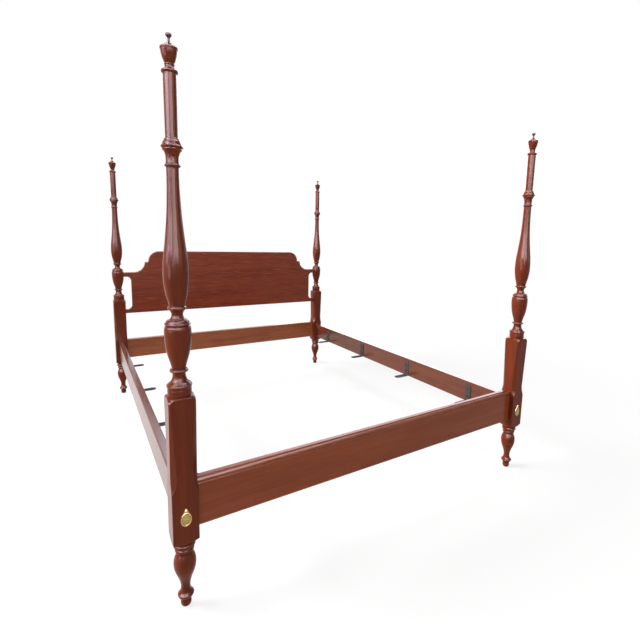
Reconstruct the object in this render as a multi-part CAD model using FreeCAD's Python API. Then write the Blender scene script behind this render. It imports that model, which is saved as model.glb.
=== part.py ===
import FreeCAD, Part
import math
import os

# Queen size semi poster bed frame in turned mahogany, millimetres.
# X runs across the bed, Y from the foot (minus) to the head (plus), Z up from the floor.

# Mattress and the room left round it
mattress_width = 1524.0
mattress_length = 2032.0
mattress_side_gap = 22.0
mattress_end_gap = 10.0

# Height over the finial tips, square stock of the posts and the boards between them
overall_height = 1670.0
post_width = 76.0
side_rail_thickness = 32.0
side_rail_height = 115.0
end_rail_thickness = 32.0
head_rail_height = 136.0
foot_rail_height = 155.0
rail_edge_radius = 3.0

# Turned and round pieces repeat on four corners, so they are drawn light: with flats round their axis,
# and with curves that stray no further than this from the true line
round_flats = 16
curve_flatness = 1.1

# Turned foot, from the floor up
toe_height = 27.0
toe_diameter = 32.0
toe_sole_diameter = 23.0
toe_round = 9.0
foot_bead_height = 25.0
foot_bead_diameter = 49.0
foot_bead_neck = 35.0
ankle_rise = 16.0
ankle_diameter = 29.0
ankle_flare = 19.0
ankle_flare_diameter = 42.0
foot_swell_rise = 52.0
foot_swell_diameter = 67.0
foot_neck_rise = 42.0
foot_neck_diameter = 47.0
foot_lower_ring_height = 13.0
foot_lower_ring_diameter = 59.0
foot_upper_ring_height = 20.0
foot_upper_ring_diameter = 66.0
foot_ring_edge = 4.0
foot_collar_height = 14.0
foot_collar_diameter = 61.0

# Square block, pillar and their turned shoulders
block_shoulder_rise = 12.0
block_below_rails = 37.0
pillar_above_rails = 270.0
pillar_shoulder_drop = 21.0
chamfer_leg = 17.0
chamfer_stop_above_rails = 8.0

# Lower turning, from the pillar up
drum_height = 26.5
drum_diameter = 68.5
drum_ring_height = 9.0
drum_ring_diameter = 72.0
drum_cove_diameter = 62.0
drum_cove_height = 19.5
lower_neck_height = 14.5
lower_neck_diameter = 39.0
lower_ring_height = 9.0
lower_ring_diameter = 52.0
urn_foot_diameter = 41.0
urn_body_height = 115.5
urn_bulge = 3.0
urn_diameter = 73.5
urn_lip_height = 17.0
urn_lip_diameter = 67.0
urn_collar_height = 9.0
urn_collar_diameter = 71.0
urn_cove_diameter = 60.0
urn_cove_height = 16.0
upper_neck_height = 15.0
upper_neck_diameter = 35.0
upper_ring_height = 11.0
upper_ring_diameter = 49.0

# Long vase and the plain shaft over it
vase_foot_diameter = 43.0
vase_swell_rise = 87.0
vase_diameter = 69.3
vase_shoulder_rise = 61.0
vase_shoulder_diameter = 60.6
vase_taper_rise = 233.0
vase_taper_hollow = 3.4
vase_top_diameter = 33.4
vase_ring_height = 8.0
vase_ring_diameter = 42.0
throat_height = 25.0
throat_diameter = 34.6
knop_cove_height = 12.0
knop_cove_diameter = 49.0
knop_height = 14.0
knop_diameter = 58.0
knop_cap_height = 16.0
shaft_height = 163.0
shaft_foot_diameter = 33.0
shaft_head_diameter = 34.8
top_collar_height = 8.0
top_collar_diameter = 43.5
top_collar_edge = 2.5

# Finial and its metal tip
finial_base_diameter = 38.5
finial_cove_height = 11.0
finial_neck_diameter = 23.0
finial_bead_height = 6.0
finial_bead_diameter = 27.0
finial_urn_height = 36.0
finial_urn_bulge = 2.0
finial_rim_height = 4.0
finial_rim_diameter = 46.5
finial_lid_height = 14.0
finial_lid_hollow = 2.5
finial_lid_diameter = 10.0
finial_spigot_diameter = 12.0
finial_spigot_length = 30.0
tip_stem_height = 9.0
tip_stem_diameter = 6.0
tip_knob_diameter = 16.0
tip_knob_flare = 6.0
tip_knob_rise = 5.0
tip_crown_diameter = 4.0
tip_shank_diameter = 5.0
tip_shank_length = 22.0

# Headboard outline
headboard_thickness = 22.0
headboard_gap_over_rail = 191.0
lower_arm_height = 28.0
slot_height = 235.0
slot_width = 44.0
slot_corner_radius = 30.0
upper_arm_height = 32.0
arm_run = 65.0
crest_cove_radius = 73.0
crest_step_width = 24.0
crest_step_rise = 3.0
crest_corner_radius = 75.0
arm_end_from_axis = 14.0

# Foot rail moulding
moulding_flat_width = 18.0
moulding_quirk = 3.0
moulding_bead_radius = 13.0
moulding_proud = 2.0

# Tenons that join the rails to the posts
end_tenon_thickness = 20.0
end_tenon_shoulder = 18.0
end_tenon_past_bolt = 6.0
side_tenon_thickness = 20.0
side_tenon_shoulder = 14.0
side_tenon_length = 18.0
joint_gap = 0.15
mortise_end_gap = 1.0

# Bed bolt, nut and their recesses
bolt_rise = 49.0
bolt_diameter = 9.0
bolt_hole_diameter = 10.0
bolt_recess_diameter = 25.0
bolt_recess_depth = 16.0
bolt_head_width = 16.0
bolt_head_height = 8.0
bolt_tip_past_nut = 8.0
bolt_end_room = 3.0
nut_setback = 60.0
nut_width = 18.0
nut_thickness = 9.0
nut_bore_gap = 0.05
nut_room = 0.3

# Oval bolt cover that swings on its screw
cover_width = 31.5
cover_height = 43.5
cover_pivot_rise = 28.5
cover_ear_diameter = 10.0
cover_neck_width = 8.0
cover_plate_thickness = 1.6
cover_dome_height = 1.4
cover_dome_foot = 0.78
cover_dome_top = 0.6
cover_gap = 0.3
cover_screw_diameter = 3.4
cover_screw_gap = 0.06
cover_screw_length = 18.0
cover_screw_head_diameter = 7.0
cover_screw_head_height = 2.5

# Steel slat brackets under the side rails
bracket_count = 4
bracket_end_gap = 224.0
bracket_width = 38.0
bracket_thickness = 4.0
bracket_height = 101.0
bracket_leg = 97.0
bracket_bend = 5.0

# Middle of a quarter round as a share of its radius, and a round that clears a square's corners
quarter = math.sqrt(0.5)
corner_clearance = 1.46

# Places worked out from the sizes above
post_half = post_width / 2
inside_width = mattress_width + 2 * mattress_side_gap
inside_length = mattress_length + 2 * mattress_end_gap
post_x = (inside_width + side_rail_thickness) / 2
post_y = (inside_length + end_rail_thickness) / 2
foot_bead_top = toe_height + foot_bead_height
ankle_z = foot_bead_top + ankle_rise
ankle_flare_z = ankle_z + ankle_flare
foot_swell_z = ankle_flare_z + foot_swell_rise
foot_vase_top = foot_swell_z + foot_neck_rise
foot_rings_top = foot_vase_top + foot_lower_ring_height + foot_upper_ring_height
block_bottom = foot_rings_top + foot_collar_height
rail_bottom = block_bottom + block_below_rails
rails_top = rail_bottom + max(foot_rail_height, head_rail_height, side_rail_height)
pillar_top = rails_top + pillar_above_rails
side_rail_top = rail_bottom + side_rail_height
bolt_z = rail_bottom + bolt_rise
headboard_bottom = rail_bottom + head_rail_height + headboard_gap_over_rail
slot_bottom = headboard_bottom + lower_arm_height
slot_top = slot_bottom + slot_height
upper_arm_top = slot_top + upper_arm_height
end_tenon_from_axis = bolt_hole_diameter / 2 + end_tenon_past_bolt
finial_body_height = finial_cove_height + finial_bead_height + finial_urn_height + finial_rim_height
finial_top = overall_height - tip_stem_height - tip_knob_flare - tip_knob_rise
post_top = finial_top - finial_body_height - finial_lid_height
drum_part = drum_height + drum_ring_height + drum_cove_height + lower_neck_height + lower_ring_height
urn_part = urn_body_height + urn_lip_height + urn_collar_height + urn_cove_height
vase_part = upper_neck_height + upper_ring_height + vase_swell_rise + vase_shoulder_rise + vase_taper_rise
knop_part = vase_ring_height + throat_height + knop_cove_height + knop_height + knop_cap_height
turned_rise = drum_part + urn_part + vase_part + knop_part + shaft_height + top_collar_height
turning_stretch = (post_top - pillar_top) / turned_rise
chamfer_length = pillar_above_rails - chamfer_stop_above_rails
bracket_pitch = 2 * (post_y - post_half - bracket_end_gap) / (bracket_count - 1)

corners = {
    "foot_left": (-1, -1),
    "foot_right": (1, -1),
    "head_left": (-1, 1),
    "head_right": (1, 1),
}


def at(radius, height):
    return FreeCAD.Vector(radius, 0, height)


def run(points):
    # Edges in the XZ plane: a pair ends a straight run, four numbers end an arc that passes their first two
    edges = []
    here = at(*points[0])
    for step in points[1:]:
        there = at(*step[-2:])
        if len(step) == 4:
            edges.append(Part.Arc(here, at(*step[:2]), there).toShape())
        else:
            edges.append(Part.LineSegment(here, there).toShape())
        here = there
    return edges


def ring(radius, height):
    # The closed round of flats at one height, its flats half inside and half outside the true circle
    reach = radius / math.sqrt(math.cos(math.pi / round_flats))
    corners = []
    for flat in range(round_flats + 1):
        angle = 2 * math.pi * (flat + 0.5) / round_flats
        corners.append(FreeCAD.Vector(reach * math.cos(angle), reach * math.sin(angle), height))
    return corners


def stack(rings):
    # A solid with flat sides from one closed round to the next
    faces = [Part.Face(Part.makePolygon(rings[0])), Part.Face(Part.makePolygon(rings[-1]))]
    for low, high in zip(rings, rings[1:]):
        for flat in range(round_flats):
            quad = [low[flat], low[flat + 1], high[flat + 1], high[flat], low[flat]]
            faces.append(Part.Face(Part.makePolygon(quad)))
    shell = Part.makeShell(faces)
    shell.sewShape()
    return Part.makeSolid(shell)


def lathe(points):
    # A solid turned about Z from its outline, lower rim first
    spots = [at(*points[0])]
    for edge in run(points):
        spots += edge.discretize(Deflection=curve_flatness)[1:]
    return stack([ring(spot.x, spot.z) for spot in spots])


def pin(diameter, low, high):
    # A plain round bar along Z
    return lathe([(diameter / 2, low), (diameter / 2, high)])


def board(outline, thickness):
    # A flat board in the XZ plane, centred on Y
    face = Part.Face(Part.Wire(run(outline + [outline[0]])))
    face.translate(FreeCAD.Vector(0, -thickness / 2, 0))
    return face.extrude(FreeCAD.Vector(0, thickness, 0))


def block(x0, x1, y0, y1, z0, z1):
    return Part.makeBox(x1 - x0, y1 - y0, z1 - z0, FreeCAD.Vector(x0, y0, z0))


def rod(diameter, z, y0, y1):
    # A plain round bar along Y
    bar = pin(diameter, -y1, -y0)
    bar.rotate(at(0, 0), FreeCAD.Vector(1, 0, 0), 90)
    bar.translate(at(0, z))
    return bar


def to_corner(shape, side, end):
    # Carries a shape made about the foot left post's axis to one of the four posts
    placed = shape.copy()
    if side > 0:
        placed = placed.mirror(at(0, 0), FreeCAD.Vector(1, 0, 0))
    if end > 0:
        placed = placed.mirror(at(0, 0), FreeCAD.Vector(0, 1, 0))
    placed.translate(FreeCAD.Vector(side * post_x, end * post_y, 0))
    return placed


def bead(diameter, low, height, next_diameter):
    # A pointed turned ring that starts where the outline stands and ends on the next diameter
    return [(diameter / 2, low + height / 2), (next_diameter / 2, low + height)]


def cushion(diameter, low, height, edge):
    # A turned ring with an upright band between two bevelled edges
    wide = diameter / 2
    narrow = wide - edge
    high = low + height
    return [(narrow, low), (wide, low + edge), (wide, high - edge), (narrow, high)]


def hollow(diameter, low, next_diameter, high):
    # A cove between two diameters, level at the wide end and upright at the narrow one
    if diameter > next_diameter:
        mid_z = high - quarter * (high - low)
    else:
        mid_z = low + quarter * (high - low)
    wide = max(diameter, next_diameter)
    narrow = min(diameter, next_diameter)
    return (wide - quarter * (wide - narrow)) / 2, mid_z, next_diameter / 2, high


def roll_in(diameter, low, next_diameter, high):
    # A rounded shoulder that starts upright and ends level on a narrower diameter
    mid_r = (next_diameter + quarter * (diameter - next_diameter)) / 2
    return mid_r, low + quarter * (high - low), next_diameter / 2, high


def foot_outline():
    toe = toe_diameter / 2
    upper_ring = foot_vase_top + foot_lower_ring_height
    steps = [(toe_sole_diameter / 2, 0), (toe, toe_round), (toe, toe_height)]
    steps += bead(foot_bead_diameter, toe_height, foot_bead_height, foot_bead_neck)
    steps += [(ankle_diameter / 2, ankle_z, ankle_flare_diameter / 2, ankle_flare_z)]
    steps += [(foot_swell_diameter / 2, foot_swell_z, foot_neck_diameter / 2, foot_vase_top)]
    steps += [(foot_lower_ring_diameter / 2, foot_vase_top + foot_lower_ring_height / 2)]
    steps += cushion(foot_upper_ring_diameter, upper_ring, foot_upper_ring_height, foot_ring_edge)
    steps += [(foot_collar_diameter / 2, block_bottom)]
    return steps


def block_outline():
    # The square stock is turned at both ends only, so between them the outline clears its corners
    clear = post_width * corner_clearance
    shoulder = pillar_top - pillar_shoulder_drop
    return [
        (clear / 2, block_bottom + block_shoulder_rise),
        (clear / 2, shoulder),
        roll_in(clear, shoulder, drum_diameter, pillar_top),
    ]


def lower_turning_outline():
    z = pillar_top + drum_height
    steps = [(drum_diameter / 2, z)]
    steps += bead(drum_ring_diameter, z, drum_ring_height, drum_cove_diameter)
    z += drum_ring_height
    steps += [hollow(drum_cove_diameter, z, lower_neck_diameter, z + drum_cove_height)]
    z += drum_cove_height + lower_neck_height
    steps += [(lower_neck_diameter / 2, z)]
    steps += bead(lower_ring_diameter, z, lower_ring_height, urn_foot_diameter)
    z += lower_ring_height
    middle = (urn_foot_diameter + urn_diameter) / 4 + urn_bulge
    steps += [(middle, z + urn_body_height / 2, urn_diameter / 2, z + urn_body_height)]
    z += urn_body_height + urn_lip_height
    steps += [(urn_lip_diameter / 2, z)]
    steps += bead(urn_collar_diameter, z, urn_collar_height, urn_cove_diameter)
    z += urn_collar_height
    steps += [hollow(urn_cove_diameter, z, upper_neck_diameter, z + urn_cove_height)]
    z += urn_cove_height + upper_neck_height
    steps += [(upper_neck_diameter / 2, z)]
    steps += bead(upper_ring_diameter, z, upper_ring_height, vase_foot_diameter)
    return steps, z + upper_ring_height


def upper_turning_outline(z):
    swell = z + vase_swell_rise
    shoulder = swell + vase_shoulder_rise
    z = shoulder + vase_taper_rise
    middle = (vase_shoulder_diameter + vase_top_diameter) / 4 - vase_taper_hollow
    steps = [(vase_diameter / 2, swell, vase_shoulder_diameter / 2, shoulder)]
    steps += [(middle, (shoulder + z) / 2, vase_top_diameter / 2, z)]
    steps += bead(vase_ring_diameter, z, vase_ring_height, throat_diameter)
    z += vase_ring_height + throat_height
    steps += [(throat_diameter / 2, z)]
    steps += [hollow(throat_diameter, z, knop_cove_diameter, z + knop_cove_height)]
    z += knop_cove_height
    steps += bead(knop_diameter, z, knop_height, knop_cove_diameter)
    z += knop_height
    steps += [roll_in(knop_cove_diameter, z, shaft_foot_diameter, z + knop_cap_height)]
    z += knop_cap_height + shaft_height
    steps += [(shaft_head_diameter / 2, z)]
    steps += cushion(top_collar_diameter, z, top_collar_height, top_collar_edge)
    return steps


def stretched(steps):
    # The steps over the pillar, drawn out or pressed together so that they end at the post's top
    placed = []
    for step in steps:
        heights = [pillar_top + (z - pillar_top) * turning_stretch for z in step[1::2]]
        placed.append(tuple(value for pair in zip(step[::2], heights) for value in pair))
    return placed


def pillar_trims():
    # What is cut away between the turned shoulders: the slabs outside the square, then the tapered chamfers
    wide = post_width
    outer = block(-wide, wide, -wide, wide, block_bottom, pillar_top)
    square = block(-post_half, post_half, -post_half, post_half, block_bottom, pillar_top)
    trims = [outer.cut(square)]
    depth = chamfer_leg * quarter
    stop = rails_top + chamfer_stop_above_rails
    edge = post_width * quarter
    past = edge + depth
    curve = depth * quarter
    outline = [
        (edge, stop),
        (edge - curve, stop + depth - curve, edge - depth, stop + depth),
        (edge, stop + chamfer_length),
        (past, stop + chamfer_length),
        (past, stop),
    ]
    wedge = board(outline, 4 * depth)
    for turn in range(4):
        corner = wedge.copy()
        corner.rotate(at(0, 0), FreeCAD.Vector(0, 0, 1), 45 + 90 * turn)
        trims.append(corner)
    return trims


def post_sockets(with_headboard):
    # Holes in a post, made about its axis with the bed's inside towards plus X and plus Y
    gap = joint_gap
    end_height = head_rail_height if with_headboard else foot_rail_height
    end_half = end_tenon_thickness / 2 + gap
    side_half = side_tenon_thickness / 2 + gap
    end_low = rail_bottom + end_tenon_shoulder - gap
    end_high = rail_bottom + end_height - end_tenon_shoulder + gap
    side_low = rail_bottom + side_tenon_shoulder - gap
    side_high = side_rail_top - side_tenon_shoulder + gap
    end_start = end_tenon_from_axis - mortise_end_gap
    side_start = post_half - side_tenon_length - mortise_end_gap
    pilot = cover_screw_diameter + 2 * cover_screw_gap
    pilot_end = cover_screw_length + mortise_end_gap - post_half
    spigot_end = post_top - finial_spigot_length - mortise_end_gap
    sockets = [
        block(end_start, post_width, -end_half, end_half, end_low, end_high),
        block(-side_half, side_half, side_start, post_width, side_low, side_high),
        rod(bolt_hole_diameter, bolt_z, -post_width, post_width),
        rod(bolt_recess_diameter, bolt_z, -post_width, bolt_recess_depth - post_half),
        rod(pilot, bolt_z + cover_pivot_rise, -post_width, pilot_end),
        pin(finial_spigot_diameter + 2 * gap, spigot_end, post_top + gap),
    ]
    if with_headboard:
        half = headboard_thickness / 2 + gap
        start = arm_end_from_axis - mortise_end_gap
        sockets.append(block(start, post_width, -half, half, headboard_bottom - gap, slot_bottom + gap))
        sockets.append(block(start, post_width, -half, half, slot_top - gap, upper_arm_top + gap))
    return sockets


def make_post(with_headboard):
    lower, vase_foot = lower_turning_outline()
    turnings = stretched(lower + upper_turning_outline(vase_foot))
    turned = lathe(foot_outline() + block_outline() + turnings)
    return turned.cut(pillar_trims()).cut(post_sockets(with_headboard))


def make_finial():
    z = post_top
    steps = [(finial_base_diameter / 2, z)]
    steps += [hollow(finial_base_diameter, z, finial_neck_diameter, z + finial_cove_height)]
    z += finial_cove_height
    steps += bead(finial_bead_diameter, z, finial_bead_height, finial_neck_diameter)
    z += finial_bead_height
    waist = finial_rim_diameter - finial_rim_height
    middle = (finial_neck_diameter + waist) / 4 + finial_urn_bulge
    steps += [(middle, z + finial_urn_height / 2, waist / 2, z + finial_urn_height)]
    z += finial_urn_height
    steps += bead(finial_rim_diameter, z, finial_rim_height, waist)
    z += finial_rim_height
    middle = (waist + finial_lid_diameter) / 4 - finial_lid_hollow
    steps += [(middle, z + finial_lid_height / 2, finial_lid_diameter / 2, finial_top)]
    spigot = pin(finial_spigot_diameter, post_top - finial_spigot_length, post_top)
    bottom = finial_top - tip_shank_length - mortise_end_gap
    hole = pin(tip_shank_diameter + 2 * joint_gap, bottom, finial_top + joint_gap)
    return lathe(steps).fuse(spigot).cut(hole)


def make_finial_tip():
    # A small metal knob on a stem, with a shank down into the finial
    stem = tip_stem_diameter / 2
    wide = tip_knob_diameter
    under = finial_top + tip_stem_height
    rim = under + tip_knob_flare
    steps = [(stem, finial_top), (stem, under), (wide / 2, rim)]
    steps += [roll_in(wide, rim, tip_crown_diameter, overall_height)]
    return lathe(steps).fuse(pin(tip_shank_diameter, finial_top - tip_shank_length, finial_top))


def make_headboard():
    face = post_x - post_half
    reach = post_x - arm_end_from_axis
    slot = face - slot_width
    soft = slot_corner_radius
    tight = soft * (1 - quarter)
    arm = face - arm_run
    step = arm - crest_cove_radius
    crest = step - crest_step_width
    ledge = upper_arm_top + crest_cove_radius
    spring = ledge + crest_step_rise
    turn = crest_corner_radius
    bend = crest_cove_radius * quarter
    top = spring + turn
    right = [
        (0, headboard_bottom),
        (reach, headboard_bottom),
        (reach, slot_bottom),
        (slot + soft, slot_bottom),
        (slot + tight, slot_bottom + tight, slot, slot_bottom + soft),
        (slot, slot_top - soft),
        (slot + tight, slot_top - tight, slot + soft, slot_top),
        (reach, slot_top),
        (reach, upper_arm_top),
        (arm, upper_arm_top),
        (arm - bend, ledge - bend, step, ledge),
        (crest, ledge),
        (crest, spring),
        (crest - turn + turn * quarter, spring + turn * quarter, crest - turn, top),
        (0, top),
    ]
    half = board(right, headboard_thickness)
    whole = half.fuse(half.mirror(at(0, 0), FreeCAD.Vector(1, 0, 0))).removeSplitter()
    whole.translate(FreeCAD.Vector(0, post_y, 0))
    return whole


def end_tenons(height):
    # Both tenons of a rail that runs across the bed, as one bar through it
    reach = post_x - end_tenon_from_axis
    half = end_tenon_thickness / 2
    low = rail_bottom + end_tenon_shoulder
    return block(-reach, reach, -half, half, low, rail_bottom + height - end_tenon_shoulder)


def make_head_rail():
    face = post_x - post_half
    half = end_rail_thickness / 2
    rail = block(-face, face, -half, half, rail_bottom, rail_bottom + head_rail_height)
    rail = rail.fuse(end_tenons(head_rail_height)).removeSplitter()
    rail.translate(FreeCAD.Vector(0, post_y, 0))
    return rail


def make_foot_rail():
    # The section is drawn with the rail's outer face to the left, then swept along X
    half = end_rail_thickness / 2
    top = rail_bottom + foot_rail_height
    quirk = top - moulding_quirk
    nose = moulding_bead_radius
    face = moulding_proud - half
    section = [
        (face, rail_bottom),
        (half, rail_bottom),
        (half, top),
        (half - moulding_flat_width, top),
        (half - moulding_flat_width, quirk),
        (nose - half, quirk),
        (nose - half - nose * quarter, quirk - nose + nose * quarter, -half, quirk - nose),
        (face, quirk - nose - moulding_proud),
    ]
    length = 2 * (post_x - post_half)
    rail = board(section, length)
    rail.rotate(at(0, 0), FreeCAD.Vector(0, 0, 1), 90)
    rail = rail.fuse(end_tenons(foot_rail_height)).removeSplitter()
    rail.translate(FreeCAD.Vector(0, -post_y, 0))
    return rail


def make_side_rail(side):
    # A board with its upper edges rounded, a stub tenon at each end and a slot from below for each bolt's nut
    half = side_rail_thickness / 2
    soft = rail_edge_radius
    curve = soft * (1 - quarter)
    top = side_rail_top
    section = [
        (-half, rail_bottom),
        (half, rail_bottom),
        (half, top - soft),
        (half - curve, top - curve, half - soft, top),
        (soft - half, top),
        (curve - half, top - curve, -half, top - soft),
    ]
    end = post_y - post_half
    reach = end + side_tenon_length
    tenon_half = side_tenon_thickness / 2
    low = rail_bottom + side_tenon_shoulder
    tenons = block(-tenon_half, tenon_half, -reach, reach, low, top - side_tenon_shoulder)
    rail = board(section, 2 * end).fuse(tenons).removeSplitter()
    wall = end - nut_setback
    back = wall - nut_thickness - bolt_tip_past_nut - bolt_end_room
    nut_half = nut_width / 2 + nut_room
    slot = block(-nut_half, nut_half, back, wall, rail_bottom - nut_room, bolt_z + nut_half)
    recess = slot.fuse(rod(bolt_hole_diameter, bolt_z, wall - nut_room, reach + mortise_end_gap))
    rail = rail.cut([recess, recess.mirror(at(0, 0), FreeCAD.Vector(0, 1, 0))])
    rail.translate(FreeCAD.Vector(side * post_x, 0, 0))
    return rail


def make_bed_bolt():
    # Made about the post's axis, with the head in the recess on the outer face
    seat = bolt_recess_depth - post_half
    tip = post_half + nut_setback + nut_thickness + bolt_tip_past_nut
    half = bolt_head_width / 2
    head = block(-half, half, seat - bolt_head_height, seat, bolt_z - half, bolt_z + half)
    return head.fuse(rod(bolt_diameter, bolt_z, seat, tip))


def make_bolt_nut():
    near = post_half + nut_setback
    half = nut_width / 2
    nut = block(-half, half, near, near + nut_thickness, bolt_z - half, bolt_z + half)
    bore = bolt_diameter + 2 * nut_bore_gap
    return nut.cut(rod(bore, bolt_z, near - nut_room, near + nut_thickness + nut_room))


def oval(size, y):
    # An upright closed oval of flats about the bolt, as a share of the cover's full size
    corners = []
    for flat in range(round_flats + 1):
        angle = 2 * math.pi * (flat + 0.5) / round_flats
        x = size * cover_width / 2 * math.cos(angle)
        corners.append(FreeCAD.Vector(x, y, bolt_z + size * cover_height / 2 * math.sin(angle)))
    return corners


def make_bolt_cover():
    # An oval plate with a raised middle, hung by an ear on its screw
    back = -post_half - cover_gap
    front = back - cover_plate_thickness
    pivot = bolt_z + cover_pivot_rise
    neck = cover_neck_width / 2
    plate = stack([oval(1, back), oval(1, front)])
    hanger = [rod(cover_ear_diameter, pivot, front, back), block(-neck, neck, front, back, bolt_z, pivot)]
    dome = stack([oval(cover_dome_foot, front), oval(cover_dome_top, front - cover_dome_height)])
    bore = cover_screw_diameter / 2 + cover_screw_gap
    start = FreeCAD.Vector(0, back + cover_gap, pivot)
    hole = Part.makeCylinder(bore, post_half, start, FreeCAD.Vector(0, -1, 0))
    return plate.fuse(hanger + [dome]).removeSplitter().cut(hole)


def make_cover_screw():
    # Drawn upright with its head up, then laid along Y with the head outside
    under = cover_plate_thickness + 2 * cover_gap
    length = cover_screw_length + under
    head = cover_screw_head_diameter
    crown = under + cover_screw_head_height
    shank = Part.makeCylinder(cover_screw_diameter / 2, length, at(0, -cover_screw_length))
    screw = lathe([(head / 2, under), roll_in(head, under, cover_screw_diameter, crown)]).fuse(shank)
    screw.rotate(at(0, 0), FreeCAD.Vector(1, 0, 0), 90)
    screw.translate(FreeCAD.Vector(0, -post_half, bolt_z + cover_pivot_rise))
    return screw


def tongue(length, depth):
    # A strip along X with a half round end, as wide as a bracket and as deep as asked along Z
    half = bracket_width / 2
    corners = [FreeCAD.Vector(0, -half, 0)]
    for flat in range(round_flats // 2 + 1):
        angle = 2 * math.pi * flat / round_flats - math.pi / 2
        corners.append(FreeCAD.Vector(length - half + half * math.cos(angle), half * math.sin(angle), 0))
    corners += [FreeCAD.Vector(0, half, 0), corners[0]]
    return Part.Face(Part.makePolygon(corners)).extrude(at(0, depth))


def make_slat_bracket(side, y):
    # A steel strip bent under the rail's edge: its plate lies on the rail, its leg reaches inward
    thick = bracket_thickness
    bent = [
        (0, bracket_height),
        (0, bracket_bend),
        (bracket_bend, 0),
        (bracket_leg, 0),
        (bracket_leg, thick),
        (thick, thick),
        (thick, bracket_height),
    ]
    upright = tongue(bracket_height, bracket_leg)
    upright.rotate(at(0, 0), FreeCAD.Vector(0, 1, 0), -90)
    upright.translate(at(bracket_leg, 0))
    bracket = board(bent, bracket_width).common(tongue(bracket_leg, bracket_height)).common(upright)
    if side > 0:
        bracket = bracket.mirror(at(0, 0), FreeCAD.Vector(1, 0, 0))
    bracket.translate(FreeCAD.Vector(side * inside_width / 2, y, rail_bottom))
    return bracket


foot_post = make_post(False)
head_post = make_post(True)
corner_pieces = {
    "finial": make_finial(),
    "finial_tip": make_finial_tip(),
    "bolt_cover": make_bolt_cover(),
}
corner_fasteners = {
    "bed_bolts": make_bed_bolt(),
    "bed_bolt_nuts": make_bolt_nut(),
    "bolt_cover_screws": make_cover_screw(),
}
nodes = {
    "headboard": make_headboard(),
    "head_rail": make_head_rail(),
    "foot_rail": make_foot_rail(),
    "side_rail_left": make_side_rail(-1),
    "side_rail_right": make_side_rail(1),
}
for name, (side, end) in corners.items():
    post = head_post if end > 0 else foot_post
    nodes["post_" + name] = to_corner(post, side, end)
    for piece, shape in corner_pieces.items():
        nodes[piece + "_" + name] = to_corner(shape, side, end)
for group, shape in corner_fasteners.items():
    nodes[group] = Part.Compound([to_corner(shape, side, end) for side, end in corners.values()])
for number in range(bracket_count):
    y = (number - (bracket_count - 1) / 2) * bracket_pitch
    nodes["slat_bracket_left_" + str(number + 1)] = make_slat_bracket(-1, y)
    nodes["slat_bracket_right_" + str(number + 1)] = make_slat_bracket(1, y)

os.makedirs("parts", exist_ok=True)
for node, shape in nodes.items():
    shape.exportStep("parts/" + node + ".step")
    print(node, len(shape.Solids), shape.isValid(), round(shape.Volume))
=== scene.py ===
import math

import bmesh
import bpy
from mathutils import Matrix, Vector


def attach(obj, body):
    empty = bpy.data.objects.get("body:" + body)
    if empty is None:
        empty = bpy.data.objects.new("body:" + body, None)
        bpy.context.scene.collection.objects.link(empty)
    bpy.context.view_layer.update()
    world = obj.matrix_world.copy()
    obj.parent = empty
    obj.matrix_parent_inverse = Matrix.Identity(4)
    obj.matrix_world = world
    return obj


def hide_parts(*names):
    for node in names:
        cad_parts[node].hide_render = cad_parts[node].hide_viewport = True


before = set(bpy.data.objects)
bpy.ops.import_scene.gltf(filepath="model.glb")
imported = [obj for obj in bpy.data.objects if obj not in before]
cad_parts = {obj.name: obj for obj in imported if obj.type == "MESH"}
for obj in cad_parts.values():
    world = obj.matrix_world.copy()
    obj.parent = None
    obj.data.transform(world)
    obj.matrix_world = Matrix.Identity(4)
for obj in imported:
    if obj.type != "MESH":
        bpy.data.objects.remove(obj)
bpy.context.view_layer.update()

mm = 0.001


def linear(hexColour):  # sRGB hex to the linear colour that a socket takes
    parts = [int(hexColour[i:i + 2], 16) / 255 for i in (1, 3, 5)]
    return [p / 12.92 if p <= 0.04045 else ((p + 0.055) / 1.055) ** 2.4 for p in parts] + [1]


def put(tree, kind, inputs=None, **settings):  # adds one node with its settings and links
    node = tree.nodes.new("ShaderNode" + kind)
    for name, value in settings.items():
        setattr(node, name, value)
    for socket, value in (inputs or {}).items():
        if isinstance(value, bpy.types.NodeSocket):
            tree.links.new(value, node.inputs[socket])
        else:
            node.inputs[socket].default_value = value
    return node


def startMaterial(name):
    material = bpy.data.materials.new(name)
    material.use_nodes = True
    material.node_tree.nodes.clear()
    return material, material.node_tree


def perMm(across, along, axis):  # pattern scale from real sizes, stretched along one axis
    return [1 / ((along if i == axis else across) * mm) for i in range(3)]


# Mahogany, planed or turned, stained red-brown, glazed dark in the quirks and sprayed with clear satin lacquer.
# The eye gets faint ribbons and short dark pores along the grain, a soft gloss that turns pale at a slant,
# slightly paler rubbed edges and dark lines in the quirks, partly left-over glazing and partly painted shade.
mahogany = {
    # the dark tone laid into the quirks: glazing and painted shade
    "glazeAndShade": "#260D07",
    "figureMm": (34, 700),  # each pattern's size across the grain and along it
    "streakMm": (4, 90),
    "poreMm": (1.6, 26),  # real pores are 0.2 mm wide, drawn wider so that they show
    "scuffMm": (11, 22),
    "poreDepthMm": 0.1,
    "scuffDepth": 0.25,  # as a share of a pore's
    "bump": 0.3,
    "roughness": (0.36, 0.5),
    "coat": 1.0,
    "coatRoughness": 0.18,
}


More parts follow.
